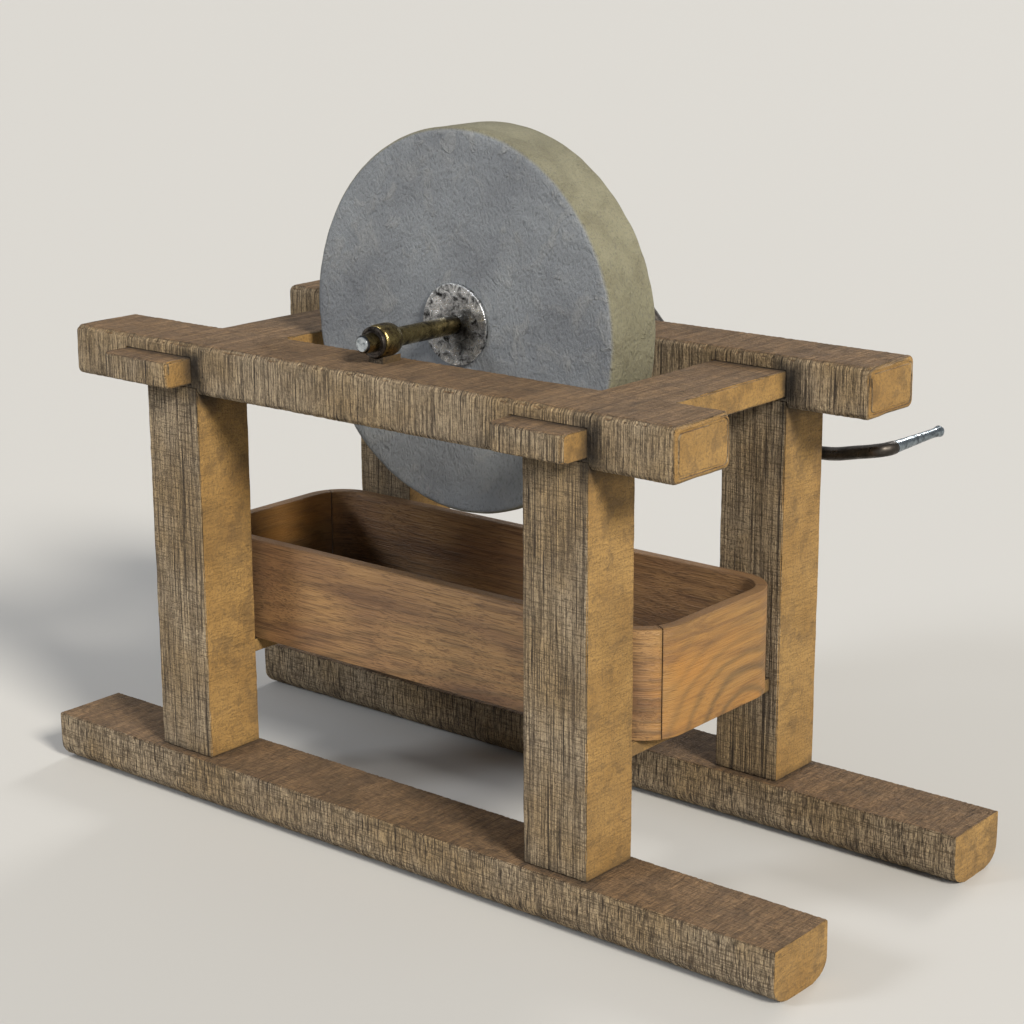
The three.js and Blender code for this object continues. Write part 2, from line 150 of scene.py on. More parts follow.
class Shader:
    """A material with one Principled surface, and short calls for the nodes used here."""

    def __init__(self, name, metallic=0.0):
        self.material = bpy.data.materials.new(name)
        self.material.use_nodes = True
        self.tree = self.material.node_tree
        self.surface = self.tree.nodes["Principled BSDF"].inputs
        self.surface["Metallic"].default_value = metallic
        places = self.node("ShaderNodeTexCoord").outputs
        self.here = places["Object"]
        self.facing = self.split(places["Normal"])

    def node(self, kind, inputs=(), **settings):
        made = self.tree.nodes.new(kind)
        for key, value in settings.items():
            setattr(made, key, value)
        for key, value in dict(inputs).items():
            self.feed(made.inputs[key], value)
        return made

    def feed(self, socket, value):
        if isinstance(value, bpy.types.NodeSocket):
            self.tree.links.new(value, socket)
        else:
            socket.default_value = value

    def split(self, vector):
        return self.node("ShaderNodeSeparateXYZ", {0: vector}).outputs

    def calc(self, operation, a, b=0.0, c=0.0):
        return self.node("ShaderNodeMath", {0: a, 1: b, 2: c}, operation=operation).outputs[0]

    def times(self, a, b):
        return self.calc("MULTIPLY", a, b)

    def rest(self, value):
        return self.calc("SUBTRACT", 1.0, value)

    def line(self, value, slope, start):
        return self.calc("MULTIPLY_ADD", value, slope, start)

    def span(self, a, b):
        return self.calc("SQRT", self.calc("ADD", self.times(a, a), self.times(b, b)))

    def stretched(self, vector, scale, shift):
        made = self.node("ShaderNodeMapping", {"Vector": vector, "Location": shift, "Scale": scale})
        return made.outputs[0]

    def noise(self, scale, detail=3.0, roughness=0.55, warp=0.0, stretch=None, shift=(0, 0, 0)):
        where = self.stretched(self.here, stretch, shift) if stretch else self.here
        inputs = {"Vector": where, "Scale": scale, "Detail": detail, "Roughness": roughness}
        inputs["Distortion"] = warp
        return self.node("ShaderNodeTexNoise", inputs).outputs["Fac"]

    def ease(self, value, low, high, to_low=0.0, to_high=1.0):
        inputs = {"Value": value, "From Min": low, "From Max": high}
        inputs.update({"To Min": to_low, "To Max": to_high})
        made = self.node("ShaderNodeMapRange", inputs, interpolation_type="SMOOTHSTEP")
        return made.outputs["Result"]

    def mix(self, share, a, b):
        made = self.node("ShaderNodeMix", data_type="RGBA")
        self.feed(made.inputs[0], share)
        self.feed(made.inputs[6], a)
        self.feed(made.inputs[7], b)
        return made.outputs[2]

    def blend(self, value, low, high, first, second):
        """Goes from one tone to another as a value goes from low to high."""
        return self.mix(self.ease(value, low, high), tone(first), tone(second))

    def stain(self, colour, code, *shares):
        """Mixes a tone into a colour, by the product of the shares."""
        share = shares[0]
        for another in shares[1:]:
            share = self.times(share, another)
        return self.mix(share, colour, tone(code))

    def painted(self, name):
        """A value that the mesh holds at each vertex."""
        return self.node("ShaderNodeAttribute", attribute_name=name).outputs["Fac"]

    def finish(self, colour, roughness, heights):
        """heights lists (height, depth in metres) from coarse to fine, each a bump on the last."""
        self.feed(self.surface["Base Color"], colour)
        self.feed(self.surface["Roughness"], roughness)
        normal = None
        for height, depth in heights:
            inputs = {"Height": height, "Distance": depth, "Strength": 1.0}
            bump = self.node("ShaderNodeBump", inputs)
            if normal:
                self.feed(bump.inputs["Normal"], normal)
            normal = bump.outputs[0]
        self.feed(self.surface["Normal"], normal)
        return self.material


def weathered_oak(name, streak, hatch):
    """Rough-sawn oak gone grey. Its ridges lie across the frame's length and run `streak` metres
    before they break. `hatch` says how strongly level saw marks cross them. Faces that look along
    the frame are smoother and yellower, partly painted warm light; those that look up are browner
    and darker, partly painted shade."""
    s = Shader(name)
    end_face = s.ease(s.calc("ABSOLUTE", s.facing["X"]), 0.55, 0.9)
    top_face = s.ease(s.facing["Z"], 0.6, 0.95)
    rough = s.rest(s.calc("MAXIMUM", end_face, s.times(top_face, 0.6)))
    squeeze = 0.0014 / streak
    drawn = (1, squeeze, squeeze)
    chatter = s.noise(380, 3, 0.6, 0.4, (1, 0.4, 0.4))
    ridges = s.noise(860, 2, 0.5, 0.3, drawn)
    bands = s.noise(120, 2, 0.5, 0.3, drawn, (5, 2, 8))
    fibres = s.noise(1700, 2, 0.6, 0.0, drawn, (3, 1, 2))
    cracks = s.noise(560, 1, 0.4, 0.5, drawn, (7, 5, 1))
    saw = s.noise(640, 2, 0.6, 0.3, (0.05, 0.05, 1), (1, 4, 9))
    weave = s.noise(560, 2, 0.6, 0.2, (0.1, 1, 0.05), (6, 2, 4))
    mesh = s.noise(310, 4, 0.65)
    cloud = s.noise(8, 3, 0.6)
    blotch = s.noise(24, 5, 0.66, 0.5)
    groove = s.ease(ridges, 0.50, 0.40)
    crack = s.ease(cracks, 0.63, 0.675)
    saw_mark = s.ease(saw, 0.53, 0.62)

    pale = s.blend(cloud, 0.35, 0.68, "b7a487", "ab926b")
    pale = s.stain(pale, "6f5f4e", s.ease(bands, 0.42, 0.66), 0.25)
    # Faces that look along the frame get a yellower tone: partly their own, partly painted warm light.
    end_tone_and_warm_light = s.blend(cloud, 0.3, 0.7, "a27e42", "8f6c36")
    end_tone_and_warm_light = s.stain(end_tone_and_warm_light, "6b512d", s.ease(weave, 0.5, 0.7), 0.3)
    end_tone_and_warm_light = s.stain(end_tone_and_warm_light, "4f3a1f", s.ease(blotch, 0.51, 0.62), 0.42)
    end_tone_and_warm_light = s.stain(end_tone_and_warm_light, "664e29", s.ease(mesh, 0.49, 0.60), 0.5)
    # Faces that look up get a browner, darker tone: partly their own, partly painted shade.
    top_tone_and_shade = s.blend(bands, 0.36, 0.64, "8a6a47", "735638")
    top_tone_and_shade = s.stain(top_tone_and_shade, "453220", s.ease(blotch, 0.48, 0.72), 0.6)
    colour = s.mix(s.times(top_face, 0.85), pale, top_tone_and_shade)
    colour = s.stain(colour, "3f2f1f", s.ease(weave, 0.50, 0.60), s.times(top_face, 0.6))
    colour = s.mix(s.times(end_face, 0.92), colour, end_tone_and_warm_light)
    # The grooves between the ridges are darkened: partly the wood's colour, partly painted shade in
    # them.
    colour = s.stain(colour, "40342a", groove, s.line(rough, 0.60, 0.12))
    colour = s.stain(colour, "493b2e", s.ease(chatter, 0.5, 0.38), s.times(rough, 0.5))
    colour = s.stain(colour, "4f4135", s.ease(fibres, 0.5, 0.64), s.line(rough, 0.38, 0.1))
    colour = s.stain(colour, "55442f", saw_mark, s.line(rough, hatch * 0.8, hatch * 0.2))
    colour = s.stain(colour, "2b2119", crack, s.line(rough, 0.75, 0.1))
    # Darkening painted on the mesh where pieces meet: dirt and painted shade.
    colour = s.stain(colour, "1a140e", s.painted("grime_and_shade"), s.ease(blotch, 0.2, 0.6, 0.7, 1.0))
    relief = s.line(rough, 0.8, 0.2)
    heights = [
        (s.times(s.rest(groove), relief), 0.0021),
        (s.times(chatter, relief), 0.0034),
        (s.times(s.rest(crack), relief), 0.0009),
        (s.times(saw_mark, -hatch), 0.0007),
        (weave, 0.0004),
        (mesh, 0.0026),
        (s.times(fibres, relief), 0.0006),
    ]
    return s.finish(colour, s.ease(ridges, 0.2, 0.8, 0.95, 0.75), heights)


def end_grain():
    """Split oak wedges, seen on their ends."""
    s = Shader("wedge_oak")
    rings = s.noise(240, 4, 0.6, 0.4)
    pores = s.noise(1300, 2)
    colour = s.blend(rings, 0.3, 0.7, "8a6d45", "b3945f")
    colour = s.stain(colour, "4a3822", s.ease(pores, 0.58, 0.72))
    return s.finish(colour, 0.8, [(rings, 0.0008), (pores, 0.0004)])


def trough_wood(name, heart, reach, spacing, contrast):
    """Planed board with growth rings. The board's own coordinates are painted on its mesh: x along
    it, y up and z through it. `heart` is where the rings have their centre, `reach` how many times
    longer than high they are, `spacing` how far apart they lie and `contrast` how dark."""
    s = Shader(name)
    s.here = s.node("ShaderNodeAttribute", attribute_name="board").outputs["Vector"]
    along, up, through = s.split(s.here)
    drift = s.noise(3.2, 3, 0.5, 0.0, (1, 3, 3), (heart[0], 2, 7))
    wobble = s.noise(7, 3, 0.6, 0.4, (1.5, 10, 10), (2, heart[1], 3))
    sway = s.calc("ADD", s.line(drift, 0.06, -0.03), s.line(wobble, 0.012, -0.006))
    height = s.calc("ADD", s.calc("SUBTRACT", up, heart[1]), sway)
    width = s.times(s.calc("SUBTRACT", along, heart[0]), 1 / reach)
    radius = s.span(height, width)
    ring = s.calc("PINGPONG", s.calc("DIVIDE", radius, spacing), 1.0)
    late = s.ease(ring, 0.35, 1.0)
    grain = s.noise(620, 3, 0.6, 0.0, (0.016, 1, 1), (heart[0], 5, 2))
    pores = s.noise(950, 2, 0.5, 0.0, (0.03, 1, 1), (heart[1], 1, 8))
    bands = s.noise(60, 4, 0.6, 0.5, (0.06, 1, 1), (3, heart[0], 6))
    cloud = s.noise(10, 3, 0.55, 0.0, (0.5, 1.4, 1), (1, 6, heart[1]))
    colour = s.blend(cloud, 0.32, 0.7, "866445", "a88254")
    ends = s.times(s.ease(s.calc("ABSOLUTE", s.facing["X"]), 0.5, 0.95), 0.7)
    colour = s.mix(ends, colour, s.blend(cloud, 0.3, 0.7, "a8752f", "8a6833"))
    near_heart = s.ease(radius, 0.16, 0.03, 0.25, 1.0)
    colour = s.stain(colour, "54472f", late, near_heart, contrast)
    colour = s.stain(colour, "51392a", s.ease(bands, 0.47, 0.68), 0.45)
    plain = s.rest(ends)
    colour = s.stain(colour, "463225", s.ease(grain, 0.50, 0.62), s.line(plain, 0.46, 0.08))
    colour = s.stain(colour, "33231a", s.ease(pores, 0.60, 0.70), s.line(plain, 0.45, 0.12))
    rim = s.ease(s.facing["Z"], 0.5, 0.95)
    colour = s.stain(colour, "93704a", rim, 0.5)
    # The inside faces are painted darker towards the bottom, as shade inside the trough.
    inside = s.ease(through, 0.75, 0.97)
    colour = s.stain(colour, "2a1d14", inside, s.ease(up, 0.05, -0.06, 0.10, 0.72))
    colour = s.stain(colour, "1f150e", s.painted("grime_and_shade"))
    return s.finish(colour, s.ease(grain, 0.3, 0.7, 0.46, 0.66), [(late, 0.0002), (grain, 0.0010)])


def sandstone(centre, radius):
    """Blue-grey stone with a fine worn grain, and a paler, yellower grinding face."""
    s = Shader("sandstone")
    x, _, z = s.split(s.stretched(s.here, (1, 1, 1), -centre))
    out = s.span(x, z)
    rim = s.ease(out, radius - 0.006, radius - 0.0015)
    cloud = s.noise(7, 4, 0.55)
    flakes = s.noise(26, 6, 0.6, 0.8)
    scars = s.ease(s.noise(17, 4, 0.6, 1.6), 0.60, 0.66)
    grain = s.noise(420, 3, 0.6, 0.0, (1, 1, 0.45))
    sand = s.noise(1300, 2, 0.6)
    face = s.blend(cloud, 0.3, 0.7, "70747a", "868b90")
    face = s.stain(face, "9a9b99", s.ease(flakes, 0.5, 0.72), 0.35)
    face = s.stain(face, "a3a4a2", scars, 0.25)
    ground = s.blend(cloud, 0.3, 0.7, "77745f", "8a8770")
    ground = s.stain(ground, "655f4b", s.ease(flakes, 0.42, 0.7), 0.45)
    colour = s.mix(rim, face, ground)
    colour = s.stain(colour, "4a4c50", s.ease(grain, 0.48, 0.34), 0.35)
    colour = s.stain(colour, "b0b1ac", s.ease(sand, 0.55, 0.75), 0.25)
    heights = [(flakes, 0.007), (scars, 0.0012), (grain, 0.0036), (sand, 0.0004)]
    return s.finish(colour, 0.93, heights)


def metal(name, light, dark, scale, roughness, share=0.5, depth=0.0004):
    """Bare metal, patchy between two tones. `share` moves the balance: more is lighter. A mesh can
    paint on it a bronze tint, partly heat tint and partly painted highlight, and dark painted shade and
    reflection."""
    s = Shader(name, metallic=1.0)
    patches = s.noise(scale, 7, 0.68, 0.5)
    scratches = s.noise(scale * 9, 3, 0.6, 0.0, (1, 0.15, 0.5), (2, 3, 1))
    pits = s.noise(scale * 6, 3, 0.6)
    colour = s.blend(patches, share - 0.14, share + 0.14, light, dark)
    colour = s.stain(colour, dark, s.ease(scratches, 0.55, 0.75), 0.35)
    # A bronze tint painted near the crank's seam: partly heat tint, partly a painted gold highlight.
    colour = s.stain(colour, "a48848", s.painted("heat"))
    # Darkening painted on the mesh: painted shade and dark reflection.
    colour = s.stain(colour, "16130f", s.painted("grime_and_shade"))
    dull = s.ease(patches, share - 0.15, share + 0.15, roughness, min(roughness + 0.25, 0.9))
    return s.finish(colour, dull, [(patches, depth), (pits, depth * 0.6), (scratches, depth * 0.3)])


# ---- Mesh building -------------------------------------------------------------------------
def new_object(node, points, faces):
    """A mesh object whose faces all look outwards, named after the node it's for."""
    name = f"{node}_piece"
    mesh = bpy.data.meshes.new(name)
    mesh.from_pydata(points, [], faces)
    shape = bmesh.new()
    shape.from_mesh(mesh)
    bmesh.ops.recalc_face_normals(shape, faces=shape.faces)
    shape.to_mesh(mesh)
    shape.free()
    obj = bpy.data.objects.new(name, mesh)
    scene.collection.objects.link(obj)
    return obj


def loft(node, rings, closed=False, capped=False):
    """A skin over rings of points, each as long as the last or a single point. It's closed on
    itself, or capped with a face on its first and last ring, or it starts and ends in a point."""
    points = [point for ring in rings for point in ring]
    starts = [sum(len(ring) for ring in rings[:at]) for at in range(len(rings))]
    pairs = list(zip(range(len(rings)), range(1, len(rings))))
    if closed:
        pairs.append((len(rings) - 1, 0))
    faces = []
    if capped:
        faces += [tuple(range(len(rings[0]))), tuple(range(starts[-1], len(points)))]
    for a, b in pairs:
        count = max(len(rings[a]), len(rings[b]))
        for at in range(count):
            after = (at + 1) % count
            if len(rings[a]) == 1:
                faces.append((starts[a], starts[b] + at, starts[b] + after))
            elif len(rings[b]) == 1:
                faces.append((starts[a] + at, starts[b], starts[a] + after))
            else:
                corners = (starts[a] + at, starts[b] + at, starts[b] + after, starts[a] + after)
                faces.append(corners)
    return new_object(node, points, faces)


def settle(obj):
    """Makes an object's modifiers part of its mesh."""
    graph = bpy.context.evaluated_depsgraph_get()
    mesh = bpy.data.meshes.new_from_object(obj.evaluated_get(graph))
    obj.modifiers.clear()
    obj.data = mesh


def block(low, high):
    """A plain box mesh, used only as a tool to cut or join with."""
    xs, ys, zs = zip(low, high)
    corners = [(x, y, z) for x in xs for y in ys for z in zs]
    faces = [(0, 1, 3, 2), (4, 6, 7, 5), (0, 4, 5, 1), (2, 3, 7, 6), (0, 2, 6, 4), (1, 5, 7, 3)]
    return new_object("tool", corners, faces)


def combine(obj, tools, operation):
    """Cuts or joins an object with each tool, and throws the tools away."""
    for tool in tools:
        step = obj.modifiers.new("combine", "BOOLEAN")
        step.operation = operation
        step.solver = "MANIFOLD"
        step.object = tool
    settle(obj)
    for tool in tools:
        bpy.data.objects.remove(tool)


def soften(obj, width, segments, angle):
    """Bevels the edges that are sharper than `angle` degrees."""
    step = obj.modifiers.new("edges", "BEVEL")
    step.width = width
    step.segments = segments
    step.angle_limit = math.radians(angle)
    settle(obj)


def wear(obj, depth_at):
    """Moves each vertex inwards along its normal by depth_at(point, normal)."""
    worn = []
    for vertex in obj.data.vertices:
        worn.extend(vertex.co - vertex.normal * depth_at(vertex.co, vertex.normal))
    obj.data.vertices.foreach_set("co", worn)
    obj.data.update()


def paint(obj, name, value_at):
    """Stores a number at each vertex for the material to read."""
    layer = obj.data.attributes.new(name, "FLOAT", "POINT")
    layer.data.foreach_set("value", [value_at(vertex.co) for vertex in obj.data.vertices])


def complete(obj, material, node, angle=35, grime_and_shade=None):
    """Finishes a piece: its dirt and painted shade, smooth shading with edges sharper than `angle`
    degrees kept crisp, its material, its body, and the CAD node it stands for."""
    if grime_and_shade:
        paint(obj, "grime_and_shade", grime_and_shade)
    obj.data.shade_smooth()
    obj.data.set_sharp_from_angle(angle=math.radians(angle))
    obj.data.materials.clear()
    obj.data.materials.append(material)
    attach(obj, BODY[node])
    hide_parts(node)


def middle_of(node):
    """The middle of a node's box."""
    low, high = box(node)
    return (low + high) / 2


def extent(node):
    """A turned node's radius, and where it starts and ends along Y."""
    low, high = box(node)
    return (high.x - low.x) / 2, low.y, high.y


def grown(node, by):
    """A node's box, larger on every side."""
    low, high = box(node)
    return low - Vector((by,) * 3), high + Vector((by,) * 3)


def away(point, low, high):
    """How far a point is from a box."""
    gaps = [max(low[at] - point[at], 0, point[at] - high[at]) for at in range(3)]
    return math.hypot(*gaps)


def bevelled_copy(node, width):
    """A CAD node's shape with its edges softened."""
    obj = bpy.data.objects.new(f"{node}_piece", frame["nodes"][node].data.copy())
    scene.collection.objects.link(obj)
    shape = bmesh.new()
    shape.from_mesh(obj.data)
    bmesh.ops.remove_doubles(shape, verts=shape.verts, dist=1e-6)
    bmesh.ops.dissolve_limit(shape, angle_limit=0.02, verts=shape.verts, edges=shape.edges)
    shape.to_mesh(obj.data)
    shape.free()
    soften(obj, width, 3, 40)
    return obj


def quarter_turn(steps):
    """Angles from nothing to a quarter turn."""
    return [math.pi / 2 * step / steps for step in range(steps + 1)]


def whole_turn(steps):
    """Angles all the way round."""
    return [2 * math.pi * step / steps for step in range(steps)]


def between(start, stop, spacing):
    """Points along the straight from one point to another, without its ends."""
    count = max(2, round(math.dist(start, stop) / spacing))
    return [tuple(a + (b - a) * k / count for a, b in zip(start, stop)) for k in range(1, count)]


# ---- Timber --------------------------------------------------------------------------------
GAP = 0.0003  # between pieces that are fitted together
HEAD_TENON = (0.056, 0.040)  # along the frame, and across it
FOOT_TENON = (0.056, 0.036)
SHOULDER = 0.010  # how far a post's head is let into the rail above it
BEYOND = 0.01  # how far a cutting block reaches past what it cuts
AXES = {"X": (1, 2, 0), "Y": (0, 2, 1), "Z": (0, 1, 2)}  # across, across, along


def outline(width, height, corners, spacing, steps=6):
    """Points anticlockwise round a rectangle centred on 0, from its lower left corner. Each of the
    four corners is a quarter ellipse with its own two radii."""
    arcs = []
    for turn, ((sx, sy), (rx, ry)) in enumerate(zip(QUADRANTS, corners)):
        x, y = sx * (width / 2 - rx), sy * (height / 2 - ry)
        angles = [math.pi / 2 * (turn + 2 + step / steps) for step in range(steps + 1)]
        arcs.append([(x + rx * math.cos(a), y + ry * math.sin(a)) for a in angles])
    points = []
    for arc, following in zip(arcs, arcs[1:] + arcs[:1]):
        points += arc + between(arc[-1], following[0], spacing)
    return points


def timber(node, low, high, along, corners, step, spacing, rounding, border=0.0):
    """A squared timber with rounded arrises. `step` and `spacing` are how far apart its points lie
    along it and round it. `rounding` is how far its ends curve in, along the timber and across both
    ways. `border` is the depth of a groove that frames each end."""
    a, b, u = AXES[along]
    size = high - low
    middle = (low + high) / 2
    section = outline(size[a], size[b], corners, spacing)

    def ring(place, cut_a, cut_b):
        shrink = (1 - 2 * cut_a / size[a], 1 - 2 * cut_b / size[b])
        made = []
        for across, upward in section:
            point = middle.copy()
            point[a] += across * shrink[0]
            point[b] += upward * shrink[1]
            point[u] = place
            made.append(point)
        return made

    def cap(place, inward):
        """The flat of an end, from its rounded edge to its middle."""
        rings = []
        frame_width = 0.003
        for extra, depth in ((0.0008, border), (0.0020, border), (frame_width, 0.0)):
            cut = (rounding[1] + extra, rounding[2] + extra)
            rings.append(ring(place + inward * depth, *cut))
        half = min(size[a], size[b]) / 2
        edge = max(rounding[1:]) + frame_width
        for share in (0.25, 0.5, 0.75, 0.93):
            inset = edge + (half - edge) * share
            rings.append(ring(place, inset * size[a] / (2 * half), inset * size[b] / (2 * half)))
        centre = middle.copy()
        centre[u] = place
        return rings + [[centre]]

    # How far each ring of a rounded end is from its flat, and the share of the rounding cut off there.
    curve = [(rounding[0] * (1 - math.cos(a)), 1 - math.sin(a)) for a in quarter_turn(5)]
    head = [ring(low[u] + d, rounding[1] * c, rounding[2] * c) for d, c in curve]
    tail = [ring(high[u] - d, rounding[1] * c, rounding[2] * c) for d, c in reversed(curve)]
    stretch = size[u] - 2 * rounding[0]
    count = round(stretch / step)
    body = [ring(low[u] + rounding[0] + stretch * k / count, 0, 0) for k in range(1, count)]
    return loft(node, cap(low[u], 1)[::-1] + head + body + tail + cap(high[u], -1))


def weather(obj, seed, ridges=0.0009, bites=0.006):
    """Wears a timber inwards: fine ridges across the frame's length, dents, and bitten arrises."""
    shift = Vector((3.7, 1.3, 2.1)) * seed

    def depth(point, normal):
        arris = min(1.0, 3.4 * (1 - max(map(abs, normal))))
        ridge = noise.noise(Vector((point.x * 330, point.y * 18, point.z * 18)) + shift)
        dent = noise.noise(point * 26 + shift)
        bite = noise.noise(Vector((point.x * 70, point.y * 45, point.z * 45)) - shift) - 0.12
        worn = 0.0002 + ridges * (0.5 + 0.5 * ridge) + 0.0005 * max(0.0, dent)
        comb = 0.0038 * max(0.0, ridge)
        return worn + arris * (comb + bites * max(0.0, bite))

    wear(obj, depth)


def grime_and_shade_from(boxes, reach=0.022, strength=0.85):
    """Dirt and oil where other pieces meet a timber, with painted shade in the same joints."""
    def value(point):
        nearest = min(away(point, low, high) for low, high in boxes)
        ragged = reach * (0.8 + 0.6 * noise.noise(point * 45))
        return strength * max(0.0, 1 - nearest / max(ragged, 1e-4)) ** 1.3
    return value


def right_side_of(boxes, reach):
    """A thin box on the right of each box, where more dirt and painted shade go than on the left."""
    overlap = 0.004
    sides = []
    for low, high in boxes:
        sides.append((Vector((high.x - overlap, low.y, low.z)), high + Vector((reach, 0, 0))))
    return sides


def post_block(side, end, size, z0, z1, gap=0.0):
    """A block on a post's centreline, to cut or join with."""
    x, y, _ = middle_of(f"{side}_{end}_post")
    half = Vector((size[0] / 2 + gap, size[1] / 2 + gap, 0))
    return block(Vector((x, y, z0)) - half, Vector((x, y, z1)) + half)


def footprints(side, height):
    """Flat boxes at a height, where one side's posts meet the timber below or above them."""
    flats = []
    for end in ENDS:
        low, high = box(f"{side}_{end}_post")
        flats.append((Vector((low.x, low.y, height)), Vector((high.x, high.y, height))))
    return flats


def add_post(side, end, material, seed):
    """A post with a tenon at its head and its foot, notched where the trough's bearer is let in."""
    node = f"{side}_{end}_post"
    foot, rail, bearer = f"{side}_foot", f"{side}_rail", f"{end}_trough_bearer"
    low, high = box(node)
    bottom, top = box(foot)[1].z + GAP, box(rail)[0].z + SHOULDER - GAP
    shaft = (Vector((low.x, low.y, bottom)), Vector((high.x, high.y, top)))
    post = timber(node, *shaft, "Z", [(0.003, 0.003)] * 4, 0.0035, 0.003, (0.0008,) * 3)
    weather(post, seed, 0.0007, 0.003)
    combine(post, [block(*grown(bearer, GAP))], "DIFFERENCE")
    root = 0.002
    foot_tenon = post_block(side, end, FOOT_TENON, low.z, bottom + root)
    head_tenon = post_block(side, end, HEAD_TENON, top - root, high.z)
    combine(post, [foot_tenon, head_tenon], "UNION")
    # Darker under the rail and where the foot and bearer meet the post: dirt and painted shade.
    at_head = grime_and_shade_from([box(rail)], 0.045, 0.9)
    elsewhere = grime_and_shade_from([box(foot), box(bearer)], 0.014, 0.5)

    def darkening(point):
        """Most of the darkening at the head, dirt and painted shade under the rail, is on the right of
        the post.
        """
        share = 0.25 + 0.75 * max(0.0, 1 - (high.x - point.x) / 0.02)
        return max(elsewhere(point), at_head(point) * share)

    complete(post, material, node, grime_and_shade=darkening)


def tenon_holes(side, size, z0, z1):
    """Cutting blocks for the mortises of one side's posts, between two heights."""
    return [post_block(side, end, size, z0, z1, GAP) for end in ENDS]


def add_foot(side, material, seed):
    """A long timber on the floor, with its lower edges well rounded and its posts wedged from below."""
    node = f"{side}_foot"
    low, high = box(node)
    corners = [(0.030, 0.024)] * 2 + [(0.003, 0.003)] * 2
    foot = timber(node, low, high, "X", corners, 0.0022, 0.008, (0.0015,) * 3)
    weather(foot, seed, 0.0009, 0.0035)
    for vertex in foot.data.vertices:
        if vertex.co.z < 0.0012:
            vertex.co.z = 0.0
    combine(foot, tenon_holes(side, FOOT_TENON, -BEYOND, high.z + BEYOND), "DIFFERENCE")
    wedges = []
    for end in ENDS:
        wedge_low, wedge_high = grown(f"{side}_{end}_foot_wedge", GAP)
        wedge_low.z = -BEYOND
        wedges.append(block(wedge_low, wedge_high))
    combine(foot, wedges, "DIFFERENCE")
    # Darker round the posts' feet: dirt and painted shade where they meet.
    complete(foot, material, node, grime_and_shade=grime_and_shade_from(footprints(side, high.z), 0.014, 0.55))


def add_rail(side, material, seed):
    """A top timber, cut for the cross beams, the posts' heads and tenons, and the bearing's seat."""
    node = f"{side}_rail"
    low, high = box(node)
    rail = timber(node, low, high, "X", [(0.009, 0.009)] * 4, 0.0018, 0.008, (0.007,) * 3, 0.0016)
    weather(rail, seed)
    beams = [box(f"{end}_cross_beam") for end in ENDS]
    tools = [block(*grown(f"{end}_cross_beam", GAP)) for end in ENDS]
    tools += tenon_holes(side, HEAD_TENON, low.z - BEYOND, beams[0][0].z + 0.002)
    for end in ENDS:
        post_low, post_high = grown(f"{side}_{end}_post", GAP)
        corner_low = Vector((post_low.x, post_low.y - 0.002, low.z - BEYOND))
        tools.append(block(corner_low, Vector((post_high.x, post_high.y, low.z + SHOULDER))))
    seat_low, seat_high = grown(f"{side}_bearing_saddle", GAP)
    tools.append(block(seat_low, seat_high + Vector((0, 0, 2 * BEYOND))))
    combine(rail, tools, "DIFFERENCE")
    # Darker beside the beams, the posts' heads and the bush: dirt and painted shade in these joints.
    smudge_and_shade = grime_and_shade_from(right_side_of(beams, 0.012), 0.030, 0.95)
    contact = grime_and_shade_from(footprints(side, low.z) + [box(f"{side}_bearing_bush")], 0.012, 0.6)
    complete(rail, material, node, grime_and_shade=lambda point: max(smudge_and_shade(point), contact(point)))


def add_beam(end, material, seed):
    """A cross beam that passes through both rails and takes the tenons of two posts."""
    node = f"{end}_cross_beam"
    low, high = box(node)
    beam = timber(node, low, high, "Y", [(0.0035, 0.0035)] * 4, 0.003, 0.003, (0.010, 0.010, 0.0035))
    weather(beam, seed, 0.0004, 0.003)
    holes = []
    for side in SIDES:
        top = box(f"{side}_{end}_post")[1].z + GAP
        holes.append(post_block(side, end, HEAD_TENON, low.z - BEYOND, top, GAP))
    combine(beam, holes, "DIFFERENCE")
    # Darker where the beam passes through the rails: dirt and painted shade.
    complete(beam, material, node, grime_and_shade=grime_and_shade_from([box("near_rail"), box("far_rail")]))


def add_bearer(end, material, seed):
    """A thin board between two posts, under an end of the trough."""
    node = f"{end}_trough_bearer"
    bearer = timber(node, *box(node), "Y", [(0.002, 0.002)] * 4, 0.004, 0.004, (0.001,) * 3)
    weather(bearer, seed, 0.0004, 0.002)
    posts = [box(f"{side}_{end}_post") for side in SIDES]
    trough = (box("trough_left_end")[0], box("trough_right_end")[1])
    # Darker where the bearer meets the posts and the trough: dirt and painted shade.
    complete(bearer, material, node, grime_and_shade=grime_and_shade_from(posts + [trough], 0.02, 0.6))


def add_timbers():
    long_oak = weathered_oak("oak_rails", 0.070, 0.22)
    upright_oak = weathered_oak("oak_posts", 0.110, 0.55)
    foot_oak = weathered_oak("oak_feet", 0.022, 0.62)
    for seed, side in enumerate(SIDES):
        add_foot(side, foot_oak, 11 + seed)
        add_rail(side, long_oak, 21 + seed)
        saddle = f"{side}_bearing_saddle"
        # The saddle is painted dark all over, as the contact shadow under the bearing bush.
        complete(bevelled_copy(saddle, 0.0007), long_oak, saddle, grime_and_shade=lambda point: 0.85)
        for turn, end in enumerate(ENDS):
            add_post(side, end, upright_oak, 31 + seed * 2 + turn)
    for seed, end in enumerate(ENDS):
        add_beam(end, long_oak, 41 + seed)
        add_bearer(end, long_oak, 51 + seed)
    wedge_oak = end_grain()
    for node, slot in SLOT.items():
        if slot == "wedge_wood":
            complete(bevelled_copy(node, 0.0005), wedge_oak, node)


# ---- Trough --------------------------------------------------------------------------------
WALL = 0.017  # how thick the boards are
CORNER = 0.062  # the radius of the outer corners
SEAM = math.pi / 6  # how far round a corner its two boards meet


